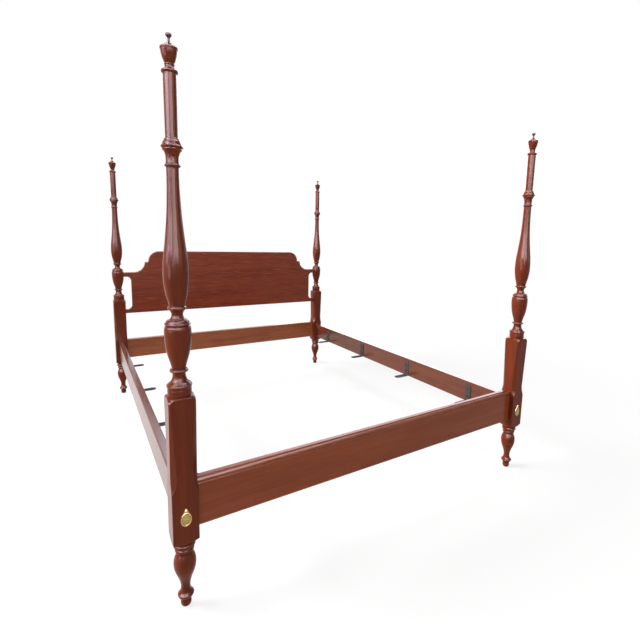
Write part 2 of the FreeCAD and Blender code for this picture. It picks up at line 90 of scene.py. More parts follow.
def lacqueredMahogany(name, axis, tone):  # axis is the grain's
    material, tree = startMaterial(name)
    look = mahogany
    place = put(tree, "TexCoord").outputs["Object"]
    layers = {"edge": put(tree, "Attribute", attribute_name="edgeWearAndHollow").outputs["Fac"]}
    for layer, sizes, detail, twist in (
        ("figure", look["figureMm"], 3, 0.5),
        ("streak", tone.get("streakMm", look["streakMm"]), 3, 0.3),
        ("pore", look["poreMm"], 2, 0),
        ("scuff", look["scuffMm"], 4, 0),
    ):
        scaled = put(tree, "Mapping", {"Vector": place, "Scale": perMm(*sizes, axis)})
        spread = {"Vector": scaled.outputs[0], "Scale": 1, "Detail": detail, "Distortion": twist}
        layers[layer] = put(tree, "TexNoise", spread).outputs[0]
    shares = {}
    for share, layer, low, high, least, most in (  # least to most as the layer goes from low to high
        ("heart", "figure", 0.3, 0.7, 0, 1),
        ("ribbon", "streak", 0.45, 0.8, 0, tone["streaks"]),
        ("pore", "pore", 0.58, 0.72, 0, 1),
        ("poreShade", "pore", 0.58, 0.72, 0, 0.3),
        ("crest", "edge", 0.35, 1, 0, 0.4),
        ("patchy", "scuff", 0.35, 0.65, 0.1, 1),
        # hollow: darkens the quirks towards the dark tone, as glazing and as painted shade
        ("hollow", "edge", -0.25, -1, 0, 0.6),
        ("rough", "scuff", 0.3, 0.7, *look["roughness"]),
    ):
        ends = {"Value": layers[layer], "From Min": low, "From Max": high, "To Min": least, "To Max": most}
        shares[share] = put(tree, "MapRange", ends, interpolation_type="SMOOTHSTEP").outputs[0]
    rubbed = put(tree, "Math", {0: shares["crest"], 1: shares["patchy"]}, operation="MULTIPLY")
    colour = linear(tone["shade"])
    for share, stain in (
        (shares["heart"], tone["heart"]),
        (shares["ribbon"], tone["ribbon"]),
        (shares["poreShade"], tone["shade"]),
        (rubbed.outputs[0], tone["rubbed"]),
        # the quirks' glazing and painted shade
        (shares["hollow"], look["glazeAndShade"]),
    ):
        coats = {0: share, 6: colour, 7: linear(stain)}
        colour = put(tree, "Mix", coats, data_type="RGBA").outputs[2]
    depths = {0: layers["scuff"], 1: -look["scuffDepth"], 2: shares["pore"]}
    relief = put(tree, "Math", depths, operation="MULTIPLY_ADD")
    dents = {"Height": relief.outputs[0], "Strength": look["bump"], "Distance": look["poreDepthMm"] * mm}
    bump = put(tree, "Bump", dents, invert=True)
    surface = put(tree, "BsdfPrincipled", {
        "Base Color": colour,
        "Roughness": shares["rough"],
        "Normal": bump.outputs[0],
        "Specular IOR Level": 0.0,
        "Coat Weight": look["coat"],
        "Coat Roughness": look["coatRoughness"],
        "Coat IOR": tone["coatIor"],
    })
    put(tree, "OutputMaterial", {"Surface": surface.outputs[0]})
    return material


def metal(name, look):  # real grit is finer than a look's gritMm, which is coarse enough to show
    material, tree = startMaterial(name)
    place = put(tree, "TexCoord").outputs["Object"]
    layers = {"edge": put(tree, "Attribute", attribute_name="edgeWearAndHollow").outputs["Fac"]}
    for layer, size, detail in (("patch", look["patchMm"], 4), ("grit", look["gritMm"], 2)):
        spread = {"Vector": place, "Scale": 1 / (size * mm), "Detail": detail}
        layers[layer] = put(tree, "TexNoise", spread).outputs[0]
    shares = {}
    for share, layer, low, high, least, most in (  # as in the mahogany
        ("patch", "patch", 0.38, 0.68, 0, look["patchShare"]),
        ("rubbed", "edge", 0.2, 1, 0, look["rubbedShare"]),
        ("dirt", "edge", -0.1, -0.8, 0, 0.7),
        ("rough", "patch", 0.3, 0.7, *look["roughness"]),
    ):
        ends = {"Value": layers[layer], "From Min": low, "From Max": high, "To Min": least, "To Max": most}
        shares[share] = put(tree, "MapRange", ends, interpolation_type="SMOOTHSTEP").outputs[0]
    colour = linear(look["colour"])
    for stain in ("patch", "rubbed", "dirt"):
        coats = {0: shares[stain], 6: colour, 7: linear(look[stain])}
        colour = put(tree, "Mix", coats, data_type="RGBA").outputs[2]
    dents = {"Height": layers["grit"], "Strength": look["bump"], "Distance": look["gritDepthMm"] * mm}
    bump = put(tree, "Bump", dents)
    surface = put(tree, "BsdfPrincipled", {
        "Base Color": colour,
        "Roughness": shares["rough"],
        "Metallic": look["metallic"],
        "Specular IOR Level": look.get("specular", 0.5),
        "Normal": bump.outputs[0],
    })
    put(tree, "OutputMaterial", {"Surface": surface.outputs[0]})
    return material


# Pressed brass, once lacquered. Pale olive yellow metal with a paler rubbed rim, dull in the hollows.
pressedBrass = metal("pressedBrass", {
    "colour": "#98844F", "patch": "#7C6834", "patchShare": 0.6, "rubbed": "#A8946C", "rubbedShare": 0.9,
    "dirt": "#4A3C1A", "patchMm": 5, "gritMm": 0.8, "gritDepthMm": 0.05, "bump": 0.25,
    "roughness": (0.22, 0.38), "metallic": 1.0,
})

# Turned brass darkened to bronze. Nearly black grey with a soft glint on its rim.
darkBronze = metal("darkBronze", {
    "colour": "#3A3233", "patch": "#2A2324", "patchShare": 0.7, "rubbed": "#5A5252", "rubbedShare": 0.4,
    "dirt": "#161213", "patchMm": 4, "gritMm": 0.7, "gritDepthMm": 0.05, "bump": 0.25,
    "roughness": (0.4, 0.55), "metallic": 0.15, "specular": 0.05,
})

# Bent steel strip dipped in black enamel. Dull charcoal with greyer rubbed edges.
blackEnamel = metal("blackEnamel", {
    "colour": "#232322", "patch": "#191918", "patchShare": 0.8, "rubbed": "#4A4946", "rubbedShare": 0.5,
    "dirt": "#161615", "patchMm": 14, "gritMm": 1.2, "gritDepthMm": 0.08, "bump": 0.4,
    "roughness": (0.42, 0.6), "metallic": 0.0, "specular": 0.05,
})

# Forged and threaded steel, oiled. Grey with brown bloom.
oiledSteel = metal("oiledSteel", {
    "colour": "#8D8A85", "patch": "#5E5048", "patchShare": 0.7, "rubbed": "#B9B6B0", "rubbedShare": 0.4,
    "dirt": "#2B2622", "patchMm": 6, "gritMm": 0.9, "gritDepthMm": 0.06, "bump": 0.4,
    "roughness": (0.35, 0.55), "metallic": 1.0,
})

# The five wood tones were set piece by piece to how bright each piece looks in this light, so their differences
# are partly the wood's own and partly painted light and shade: the side rails are the darkest, the head rail
# and foot rail the palest.
postWood = lacqueredMahogany("lacqueredMahoganyTurned", 2, {
    "heart": "#572311", "shade": "#4C1D0D", "ribbon": "#622C17", "rubbed": "#713820",
    "streaks": 0.35, "coatIor": 1.18,
})
boardWood = lacqueredMahogany("lacqueredMahoganyBoard", 0, {
    "heart": "#692A16", "shade": "#5A2110", "ribbon": "#824329", "rubbed": "#82452C",
    "streaks": 0.7, "coatIor": 1.24, "streakMm": (6, 90),
})
footRailWood = lacqueredMahogany("lacqueredMahoganyFootRail", 0, {
    "heart": "#6F361E", "shade": "#642E18", "ribbon": "#7C4428", "rubbed": "#8A4E36",
    "streaks": 0.4, "coatIor": 1.22,
})
headRailWood = lacqueredMahogany("lacqueredMahoganyHeadRail", 0, {
    "heart": "#7C4225", "shade": "#6E361B", "ribbon": "#8E5433", "rubbed": "#94583A",
    "streaks": 0.6, "coatIor": 1.29,
})
sideRailWood = lacqueredMahogany("lacqueredMahoganySideRail", 1, {
    "heart": "#4F2614", "shade": "#461E10", "ribbon": "#5C3220", "rubbed": "#6B3B2A",
    "streaks": 0.5, "coatIor": 1.43,
})
print("materials made")


def smoothCurve(points, step=5.0):  # a smooth line through points, sampled about every few millimetres
    ends = [points[0]] + points + [points[-1]]
    line = [points[0]]
    for a, b, c, d in zip(ends, ends[1:], ends[2:], ends[3:]):
        pieces = max(2, round(math.dist(b, c) / step))
        for i in range(1, pieces + 1):
            t = i / pieces
            line.append(tuple(
                0.5 * (
                    2 * q + (r - p) * t + (2 * p - 5 * q + 4 * r - s) * t * t
                    + (3 * q - p - 3 * r + s) * t ** 3
                )
                for p, q, r, s in zip(a, b, c, d)
            ))
    return line


def drawn(steps):  # corners (a, b, ease) with the smooth runs in lists drawn out
    line = []
    for step in steps:
        line += [(a, b, 0) for a, b in smoothCurve(step)] if isinstance(step, list) else [step]
    return line


def eased(bends, closed, support=2.5, reach=2.5):
    # rounds each corner and adds a point beside it; gives (a, b, wear),
    # wear up to 1 on an edge and down to -1 in a hollow
    widest, nearest = 0.45, 0.01  # share of a run that a corner may take, and the least gap between points
    line = []
    count = len(bends)
    for i, (a, b, ease) in enumerate(bends):
        here = Vector((a, b))
        if not closed and i in (0, count - 1):
            line.append(here)
            continue
        back = Vector(bends[i - 1][:2]) - here
        on = Vector(bends[(i + 1) % count][:2]) - here
        cutBack, cutOn = min(ease, back.length * widest), min(ease, on.length * widest)
        if ease and back.length > 3 * support + cutBack:
            line.append(here + back.normalized() * (cutBack + support))
        if ease:
            start, end = here + back.normalized() * cutBack, here + on.normalized() * cutOn
            for t in (0, 0.25, 0.5, 0.75, 1):
                line.append(start * (1 - t) ** 2 + here * 2 * t * (1 - t) + end * t * t)
        else:
            line.append(here)
        if ease and on.length > 3 * support + cutOn:
            line.append(here + on.normalized() * (cutOn + support))
    kept = [p for i, p in enumerate(line) if i == 0 or (p - line[i - 1]).length > nearest]
    turns = []
    for i, p in enumerate(kept):
        if not closed and i in (0, len(kept) - 1):
            turns.append(0)
            continue
        before, after = p - kept[i - 1], kept[(i + 1) % len(kept)] - p
        turns.append(math.atan2(before.cross(after), before.dot(after)))
    wear = [sum(t for q, t in zip(kept, turns) if (q - p).length <= reach) for p in kept]
    return [(p.x, p.y, max(-1, min(1, w))) for p, w in zip(kept, wear)]


def turnedOutline(steps, *fineness):  # (radius, height, wear) from a turning's steps in diameters
    return eased([(width / 2, height, ease) for width, height, ease in drawn(steps)], False, *fineness)


def finishMesh(mesh, material, sharp=32):  # outward faces, smooth shading, hard edges past an angle
    shape = bmesh.new()
    shape.from_mesh(mesh)
    bmesh.ops.recalc_face_normals(shape, faces=shape.faces)
    for face in shape.faces:
        face.smooth = True
    for edge in shape.edges:
        edge.smooth = len(edge.link_faces) == 2 and edge.calc_face_angle() < math.radians(sharp)
    shape.to_mesh(mesh)
    shape.free()
    mesh.materials.clear()
    mesh.materials.append(material)


def loft(name, rows, material):  # rows of (x, y, z, wear) in mm, each row a closed round; both ends are closed
    count = len(rows[0])
    points = [(x * mm, y * mm, z * mm) for row in rows for x, y, z, wear in row]
    worn = [wear for row in rows for x, y, z, wear in row]
    faces = []
    for i in range(len(rows) - 1):
        for j in range(count):
            k = (j + 1) % count
            faces.append((i * count + j, i * count + k, (i + 1) * count + k, (i + 1) * count + j))
    faces.append(tuple(range(count))[::-1])
    faces.append(tuple(range(len(points) - count, len(points))))
    mesh = bpy.data.meshes.new(name)
    mesh.from_pydata(points, [], faces)
    mesh.attributes.new("edgeWearAndHollow", "FLOAT", "POINT").data.foreach_set("value", worn)
    finishMesh(mesh, material)
    made = bpy.data.objects.new(name, mesh)
    bpy.context.scene.collection.objects.link(made)
    return made


def roundAngles(columns, start=0):
    return [2 * math.pi * (j + start) / columns for j in range(columns)]


def turnedRows(outline, columns, place, axis):  # an outline of (radius, run, wear) turned about an axis
    rows = []
    for radius, run, wear in outline:
        row = []
        for angle in roundAngles(columns):
            spot = [radius * math.cos(angle), radius * math.sin(angle)]
            spot.insert(axis, run)
            row.append((*(a + b for a, b in zip(spot, place)), wear))
        rows.append(row)
    return rows


def carve(target, cutters, material):  # cuts holes for good, then tidies the shading
    for cutter in cutters:
        cut = target.modifiers.new("cut", "BOOLEAN")
        cut.operation, cut.solver, cut.object = "DIFFERENCE", "EXACT", cutter
    bpy.context.view_layer.update()
    solid = target.evaluated_get(bpy.context.evaluated_depsgraph_get())
    mesh = bpy.data.meshes.new_from_object(solid)
    target.modifiers.clear()
    target.data = mesh
    finishMesh(mesh, material)
    for cutter in cutters:
        bpy.data.objects.remove(cutter)


def rodCutter(diameter, x, z, low, high, sides=48):  # runs along Y
    outline = [(diameter / 2, y, 0) for y in (low, high)]
    return loft("cutter", turnedRows(outline, sides, (x, 0, z), 1), oiledSteel)


def boxCutter(x0, x1, y0, y1, z0, z1):
    rows = [[(x, y, z, 0) for x, y in ((x0, y0), (x1, y0), (x1, y1), (x0, y1))] for z in (z0, z1)]
    return loft("cutter", rows, oiledSteel)


def settle(piece, body, slot, *nodes):  # rides a body and stands for CAD nodes; slot is not used
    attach(piece, body)
    if nodes:
        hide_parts(*nodes)


corners = {"foot_left": (-1, -1), "foot_right": (1, -1), "head_left": (-1, 1), "head_right": (1, 1)}
bed = {"postX": 800, "postY": 1042, "railBottom": 265, "postHalf": 38}

# Turned posts. Outlines are (diameter, height, ease) in mm; lists are smooth curves of (diameter, height).
post = {
    "foot": [
        (13, 0, 0),
        [(21, 0), (26.8, 2.6), (31, 7.4), (32.6, 13.5), (32, 20), (29.6, 25.6)],
        (31, 27.4, 0.4),
        (43, 32.6, 2),
        (49, 39.6, 1.8),
        [(47.4, 42.6), (41.5, 46), (35, 50.5), (30.6, 57), (28.6, 63), (28.2, 69), (29.2, 76), (32.2, 84),
         (37.2, 93), (45.6, 105), (55.2, 117.5), (62, 128.5), (66, 139.5), (67, 150), (65.4, 160),
         (60.6, 169.6), (54, 178.4), (49, 184)],
        (47.4, 186.4, 0.3),
        (53, 189.6, 0.8),
        (57.6, 194.6, 1.6),
        (54, 200.6, 1),
        (50.4, 202.4, 0.3),
        (58, 205, 0.8),
        (65.4, 209.4, 1.8),
        (66, 216, 1.8),
        (62, 219.6, 0.6),
        (57.4, 220.8, 0.3),
        (57.4, 223, 0.3),
        (59, 226, 0),
    ],
    "body": [
        (66, 690.4, 0),
        (66, 691.6, 0.3),
        (66.8, 692.4, 0.5),
        (66.8, 709.4, 0.25),
        (65.8, 710, 0.2),
        (65.8, 710.8, 0.2),
        (66.8, 711.4, 0.25),
        [(66.8, 712.2), (67, 713.6), (67.6, 715.4), (68.8, 717)],
        (70.4, 718.4, 0.5),
        (71.6, 720.6, 0.9),
        (70.2, 723, 0.8),
        (66, 724.8, 0.5),
        (62, 725.6, 0.3),
        (61.4, 726.8, 0.3),
        [(60.4, 727.4), (55.6, 729), (49, 732), (43, 737), (38.8, 743), (36.6, 748.4), (36.2, 752),
         (36.8, 755.4), (38.4, 757.8), (42, 759.6)],
        [(43.4, 759.9), (47.6, 760.9), (50.8, 762.7), (51.8, 764.6), (51, 766.6), (47.8, 768.2), (44, 768.9)],
        (40.6, 769.2, 0.3),
        [(39.2, 770), (40.6, 776), (45.4, 786.6), (52, 797.4), (58.6, 808.6), (64.4, 821), (70, 840),
         (73, 858), (74, 871), (73.6, 882), (72.2, 889.4)],
        (69.4, 894.6, 1.2),
        (63.6, 896.8, 0.3),
        (63.4, 898.2, 0.3),
        (68.8, 899, 0.5),
        (71, 901.2, 0.8),
        (69.2, 903.8, 0.7),
        (64.6, 905, 0.3),
        [(64, 906), (62.4, 908.6), (59, 911.2), (53.6, 913.2), (48, 914)],
        (43.6, 914.4, 0.3),
        (42.8, 915.6, 0.3),
        [(41.4, 916), (38, 917.6), (34.6, 920.6), (32, 924.8), (31.2, 929), (32.2, 932.6), (36.2, 936.8),
         (42, 940.8)],
        [(45, 942.4), (49, 943.6), (51.4, 945.4), (51.9, 947.2), (50.4, 949.4), (46.6, 951)],
        (43.4, 951.8, 0.3),
        [(42.4, 953.4), (46, 962.4), (52, 974), (59, 988.5), (65, 1008), (68.4, 1025), (69.3, 1040),
         (67.8, 1066), (65, 1085), (61, 1104), (55.6, 1126), (49.6, 1154), (44.2, 1182), (40, 1209),
         (37, 1237), (35.2, 1264), (33.8, 1294), (33.4, 1330)],
        (33.8, 1332.4, 0.3),
        (41.4, 1335.2, 0.8),
        (42, 1337.6, 0.8),
        (39.4, 1340.2, 0.6),
        (35.2, 1341.4, 0.3),
        [(34.8, 1342.8), (34.2, 1350), (34.6, 1358), (36.4, 1365), (40, 1371), (44.6, 1375)],
        (45.4, 1376, 0.2),
        (50, 1376.8, 0.4),
        (51.4, 1378.8, 0.7),
        (50, 1380.8, 0.3),
        (52.6, 1382, 0.3),
        (58.4, 1385.8, 0.9),
        (54, 1389.4, 0.5),
        (50.4, 1390.8, 0.4),
        (50, 1392, 0.3),
        [(49.4, 1393), (47, 1397.4), (43.6, 1400.8), (40.6, 1402.4)],
        (39.6, 1403, 0.3),
        (39.6, 1405.4, 0.5),
        (35.4, 1407, 0.4),
        (33.2, 1408.4, 0.4),
        [(33.3, 1412), (33.7, 1440), (34.3, 1500), (34.7, 1556), (34.8, 1566)],
        (34.6, 1570.4, 0.3),
        (38.6, 1571.2, 0.5),
        (43, 1573.6, 0.8),
        (43.5, 1575.8, 0.7),
        (42, 1578, 0.6),
        (38.4, 1579, 0.2),
        (30, 1579, 0),
    ],
    "collar": (59, 226),  # diameter and height where the lower lathe shoulder starts
    "lowerShoulder": (111, 240),
    # a wear below zero, as on the first row, darkens the wood there with glazing and painted shade
    "lowerRows": ((0.1, -0.6), (0.4, 0), (0.7, 0), (0.9, 0.2), (1, 1)),  # share of the way out, and wear
    "lowerEdge": ((0.8, 0.9), (3.5, 0)),  # height over the shoulder's edge, and wear
    "upperShoulder": (106, 671),
    "upperEdge": ((3.5, 0), (0.7, 0.9)),  # depth under the shoulder's edge, and wear
    "upperRows": ((0.03, 0.82), (0.2, 0), (0.4, 0), (0.6, 0), (0.8, 0), (1, 0)),  # share of the way in, wear
    "shoulderInset": (0.9, 0.4),  # how far the lower and the upper shoulder start inside the square
    "drum": (67.8, 690),
    "edgeEase": 1.7,
    "roundUpTo": 3,  # a cut this much wider than the ease is flat
    "cutWear": (0.55, 0.9, 0.15),  # where a cut meets a side, on a rounded cut and on a flat one
    "squareFrom": 250,
    "chamferLegs": (15.5, 4.5),  # at the stop and at the upper shoulder
    "chamferStop": 394,
    "chamferScoop": 52,
    "scoopShares": (0.08, 0.2, 0.35, 0.55, 0.8, 1),
    "taperShares": (0.04, 0.3, 0.6, 0.9, 1),
    "stopLead": 4,  # last plain row under the stop
    "chamferEnd": 14,  # under the upper shoulder
    "flatColumns": 15,
    "flatTurn": 43.4,  # degrees from a side's middle to its last column
    "boltHole": (25, 16, 314),  # diameter, depth and height of the bolt's recess
    "boltHoleLead": 5,  # how far its cutter stands out of the post
}
columnTurns = [post["flatTurn"] * (2 * i / (post["flatColumns"] - 1) - 1) for i in range(post["flatColumns"])]
flatShares = [math.tan(math.radians(turn)) / math.tan(math.radians(columnTurns[-1])) for turn in columnTurns]


def section(leg):  # the square's outline with its corners cut by a leg, as (x, y, share of an edge)
    half, ease = bed["postHalf"], post["edgeEase"]
    meets, rounded, flat = post["cutWear"]
    bulge = max(0, 1 - (leg - ease) / post["roundUpTo"])  # a small cut is rounded, a wide one is flat
    first, last = (half, half - leg), (half - leg, half)
    side = [(half, share * (half - leg), meets if abs(share) == 1 else 0) for share in flatShares]
    for t in (0.25, 0.5, 0.75):
        lift = t * (1 - t) * bulge * leg
        x, y = (a + (b - a) * t for a, b in zip(first, last))
        side.append((x + lift, y + lift, rounded if bulge else flat))
    ring = []
    for turn in range(4):
        c, s = round(math.cos(turn * math.pi / 2)), round(math.sin(turn * math.pi / 2))
        ring += [(c * x - s * y, s * x + c * y, edge) for x, y, edge in side]
    return ring


def headings(ring):  # from the middle to each point of a section, as (x, y, distance)
    return [(x / math.hypot(x, y), y / math.hypot(x, y), math.hypot(x, y)) for x, y, edge in ring]


def latheRows(steps, ring):  # a turning with its columns in line with the section's points
    rays = headings(ring)
    return [[(dx * r, dy * r, z, wear) for dx, dy, reach in rays] for r, z, wear in turnedOutline(steps)]


def lowerShoulderRows(ring):
    collar, low = post["collar"][0] / 2, post["collar"][1]
    wide, high = post["lowerShoulder"][0] / 2, post["lowerShoulder"][1]
    slope = (high - low) / (wide - collar)
    rows = []
    for share, worn in post["lowerRows"]:
        row = []
        for dx, dy, reach in headings(ring):
            out = share * (reach - post["shoulderInset"][0] - collar)
            row.append((dx * (collar + out), dy * (collar + out), low + slope * out, worn))
        rows.append(row)
    for above, worn in post["lowerEdge"]:
        row = []
        for (x, y, edge), (dx, dy, reach) in zip(ring, headings(ring)):
            row.append((x, y, low + slope * (reach - collar) + above, max(worn, edge)))
        rows.append(row)
    return rows


def pillarRows():  # plain square, then the stop's scoop, then the chamfers' taper
    full, little = post["chamferLegs"]
    stop, top = post["chamferStop"], post["upperShoulder"][1] - post["chamferEnd"]
    scooped = stop + post["chamferScoop"]
    levels = [(post["squareFrom"], 0), (stop - post["stopLead"], 0), (stop, 0)]
    levels += [(stop + (scooped - stop) * t, full * math.sin(t * math.pi / 2)) for t in post["scoopShares"]]
    levels += [(scooped + (top - scooped) * t, full + (little - full) * t) for t in post["taperShares"]]
    return [[(x, y, z, edge) for x, y, edge in section(max(post["edgeEase"], leg))] for z, leg in levels]


def upperShoulderRows(ring):
    wide, low = post["upperShoulder"][0] / 2, post["upperShoulder"][1]
    drum, high = post["drum"][0] / 2, post["drum"][1]
    swing = [math.acos((reach - drum) / (wide - drum)) for dx, dy, reach in headings(ring)]
    rows = []
    for below, worn in post["upperEdge"]:
        row = []
        for (x, y, edge), start in zip(ring, swing):
            row.append((x, y, low + (high - low) * math.sin(start) - below, max(worn, edge)))
        rows.append(row)
    for share, worn in post["upperRows"]:
        row = []
        for (dx, dy, reach), start in zip(headings(ring), swing):
            turn = start + share * (math.pi / 2 - start)
            out = drum + (wide - drum) * math.cos(turn) - post["shoulderInset"][1] * (1 - share)
            row.append((dx * out, dy * out, low + (high - low) * math.sin(turn), worn))
        rows.append(row)
    return rows


def makePost(corner, side, end):
    square, worked = section(post["edgeEase"]), section(post["chamferLegs"][1])
    rows = latheRows(post["foot"], square) + lowerShoulderRows(square) + pillarRows()
    rows += upperShoulderRows(worked) + latheRows(post["body"], worked)
    px, py = side * bed["postX"], end * bed["postY"]
    rows = [[(x + px, y + py, z, wear) for x, y, z, wear in row] for row in rows]
    made = loft("turnedPost." + corner, rows, postWood)
    width, deep, z = post["boltHole"]
    outer = py + end * bed["postHalf"]
    low, high = sorted((outer + end * post["boltHoleLead"], outer - end * deep))
    carve(made, [rodCutter(width, px, z, low, high)], postWood)
    settle(made, "bed_frame", "lacquered_mahogany", "post_" + corner)


finial = {
    "outline": [
        (20, 1579, 0),
        (38.4, 1579, 0.3),
        [(36.6, 1579.5), (31, 1581.2), (27, 1583.8), (24.6, 1586.8), (23.4, 1589.8)],
        (23.4, 1590.6, 0.2),
        (26.8, 1592.2, 0.8),
        (26.8, 1593.8, 0.8),
        (23.4, 1595.4, 0.3),
        [(24.4, 1596.6), (29.8, 1601.4), (34.8, 1607.8), (39, 1615), (42, 1622), (44, 1628)],
        (44.4, 1629.4, 0.2),
        (46.2, 1630.2, 0.6),
        (46.5, 1632, 0.8),
        (45, 1634.2, 0.8),
        (42.6, 1635, 0.3),
        [(41.6, 1635.4), (37.4, 1637.2), (31, 1639), (24, 1641), (17.6, 1643.6), (12.8, 1646.4)],
        (10.6, 1648.4, 0.5),
        (6.4, 1648.8, 0),
    ],
    "fineness": (1.5, 1.5),  # support and reach, as in eased
    "columns": 56,
}
tip = {
    "outline": [
        (8.6, 1648, 0),
        (8.6, 1649.8, 0.5),
        (6.6, 1650.4, 0.3),
        [(6.2, 1652), (6, 1655), (6.6, 1657.6), (8.6, 1659.8), (12, 1661.6), (14.8, 1663)],
        (16, 1664.4, 0.6),
        [(16, 1665.6), (14.8, 1667.8), (12, 1669.8), (8, 1671), (4, 1671.4)],
        (1.5, 1671.4, 0),
    ],
    "fineness": (1.5, 1.5),
    "columns": 36,
}
for corner, (side, end) in corners.items():
    makePost(corner, side, end)
    place = (side * bed["postX"], end * bed["postY"], 0)
    for name, node, piece, finish, slot in (
        ("urnFinial.", "finial_", finial, postWood, "lacquered_mahogany"),
        ("finialTip.", "finial_tip_", tip, darkBronze, "dark_bronze"),
    ):
        outline = turnedOutline(piece["outline"], *piece["fineness"])
        made = loft(name + corner, turnedRows(outline, piece["columns"], place, 2), finish)
        settle(made, "bed_frame", slot, node + corner)
print("posts, finials and tips turned")

# Headboard, sawn from one board, its sharp edges eased all round
headboard = {
    "thickness": 22,
    "ease": 2.6,
    "into": 786,  # the arms' ends, in the posts
    "bottom": 592,
    "slot": (718, 620, 855, 30),  # inner side, bottom, top and corner radius
    "arm": (697, 887),  # where the upper arm ends and its top
    "cove": 73,
    "step": (24, 3),
    "corner": 75,
    "slotPieces": 8,  # straight pieces in a quarter of a turn
    "sweepPieces": 16,
    "lip": 3,  # a row this far from each eased edge keeps the faces flat
}


def arc(cx, cz, radius, start, end, pieces):
    turns = [math.radians(start + (end - start) * i / pieces) for i in range(pieces + 1)]
    return [(cx + radius * math.cos(t), cz + radius * math.sin(t)) for t in turns]


def inset(outline, by):  # the same outline moved inward
    moved = []
    count = len(outline)
    for i, (x, z) in enumerate(outline):
        before = (Vector((x, z)) - Vector(outline[i - 1])).normalized()
        after = (Vector(outline[(i + 1) % count]) - Vector((x, z))).normalized()
        left, right = Vector((-before.y, before.x)), Vector((-after.y, after.x))
        miter = (left + right) / max(0.2, 1 + left.dot(right))  # the least value keeps sharp corners short
        moved.append((x + by * miter.x, z + by * miter.y))
    return moved


def makeHeadboard():
    h = headboard
    slot, slotLow, slotHigh, soft = h["slot"]
    armX, armTop = h["arm"]
    cove, turn = h["cove"], h["corner"]
    ledge = armTop + cove
    crest = armX - cove - h["step"][0]
    spring = ledge + h["step"][1]
    right = [(h["into"], h["bottom"]), (h["into"], slotLow)]
    right += arc(slot + soft, slotLow + soft, soft, 270, 180, h["slotPieces"])
    right += arc(slot + soft, slotHigh - soft, soft, 180, 90, h["slotPieces"])
    right += [(h["into"], slotHigh), (h["into"], armTop)]
    right += arc(armX, ledge, cove, 270, 180, h["sweepPieces"])
    right += [(crest, ledge)]
    right += arc(crest - turn, spring, turn, 0, 90, h["sweepPieces"])
    outline = right + [(-x, z) for x, z in reversed(right)]
    half, ease = h["thickness"] / 2, h["ease"]
    middle = ease * 0.29  # a round's middle is this far inside the sharp corner
    lips = [
        (ease + h["lip"], half, 0),
        (ease, half, 0.5),
        (middle, half - middle, 1),
        (0, half - ease, 0.5),
        (0, half - ease - h["lip"], 0),
    ]
    lips += [(by, -depth, wear) for by, depth, wear in reversed(lips)]
    rows = [[(x, bed["postY"] - depth, z, wear) for x, z in inset(outline, by)] for by, depth, wear in lips]
    made = loft("sawnHeadboard", rows, boardWood)
    settle(made, "bed_frame", "lacquered_mahogany", "headboard")


makeHeadboard()
print("headboard sawn")

# Rails that run between the posts. Sections are (across, height, ease) in mm, across from the middle line.
rails = {
    "footSection": [
        (-14, 265, 1.4),
        (16, 265, 1.4),
        (16, 420, 2),
        (-1.2, 420, 0.8),
        (-2, 416.4, 0.4),
        (-3.6, 416.2, 0.3),
        *((x, z, 0) for x, z in arc(-9, 411, 7, 48, 250, 16)),  # the bead
        (-11.6, 403.6, 0.3),
        (-13.4, 402.2, 0.5),
        (-14, 400, 0.3),
    ],
    "headSection": [(-16, 265, 1.6), (16, 265, 1.6), (16, 401, 2.2), (-16, 401, 2.2)],
    "sideSection": [(-16, 265, 1.4), (16, 265, 1.4), (16, 380, 3.2), (-16, 380, 3.2)],
    "endRun": 763.5,  # half lengths, a little way into the posts
    "sideRun": 1005.5,
    "nutSlot": (18.6, 20, 944, 323.3),  # under a side rail: width, length, outer end from the middle and top
    "nutSlotLead": 3,  # how far its cutter stands out of the rail
}


def makeRail(name, outline, along, half, place, wood, node):
    rows = []
    line = eased(outline, True)
    for run in (-half, half):
        if along == "x":
            rows.append([(run, place + a, z, wear) for a, z, wear in line])
        else:
            rows.append([(place + a, run, z, wear) for a, z, wear in line])
    made = loft(name, rows, wood)
    settle(made, "bed_frame", "lacquered_mahogany", node)
    return made


for name, outline, end, wood, node in (
    ("mouldedFootRail", rails["footSection"], -1, footRailWood, "foot_rail"),
    ("plainHeadRail", rails["headSection"], 1, headRailWood, "head_rail"),
):
    makeRail(name, outline, "x", rails["endRun"], end * bed["postY"], wood, node)
for name, side in (("left", -1), ("right", 1)):
    x, node = side * bed["postX"], "side_rail_" + name
    made = makeRail("sideRail." + name, rails["sideSection"], "y", rails["sideRun"], x, sideRailWood, node)
    wide, length, outer, top = rails["nutSlot"]
    low = bed["railBottom"] - rails["nutSlotLead"]
    spans = ((outer - length, outer), (-outer, length - outer))
    carve(made, [boxCutter(x - wide / 2, x + wide / 2, a, b, low, top) for a, b in spans], sideRailWood)
print("rails run")

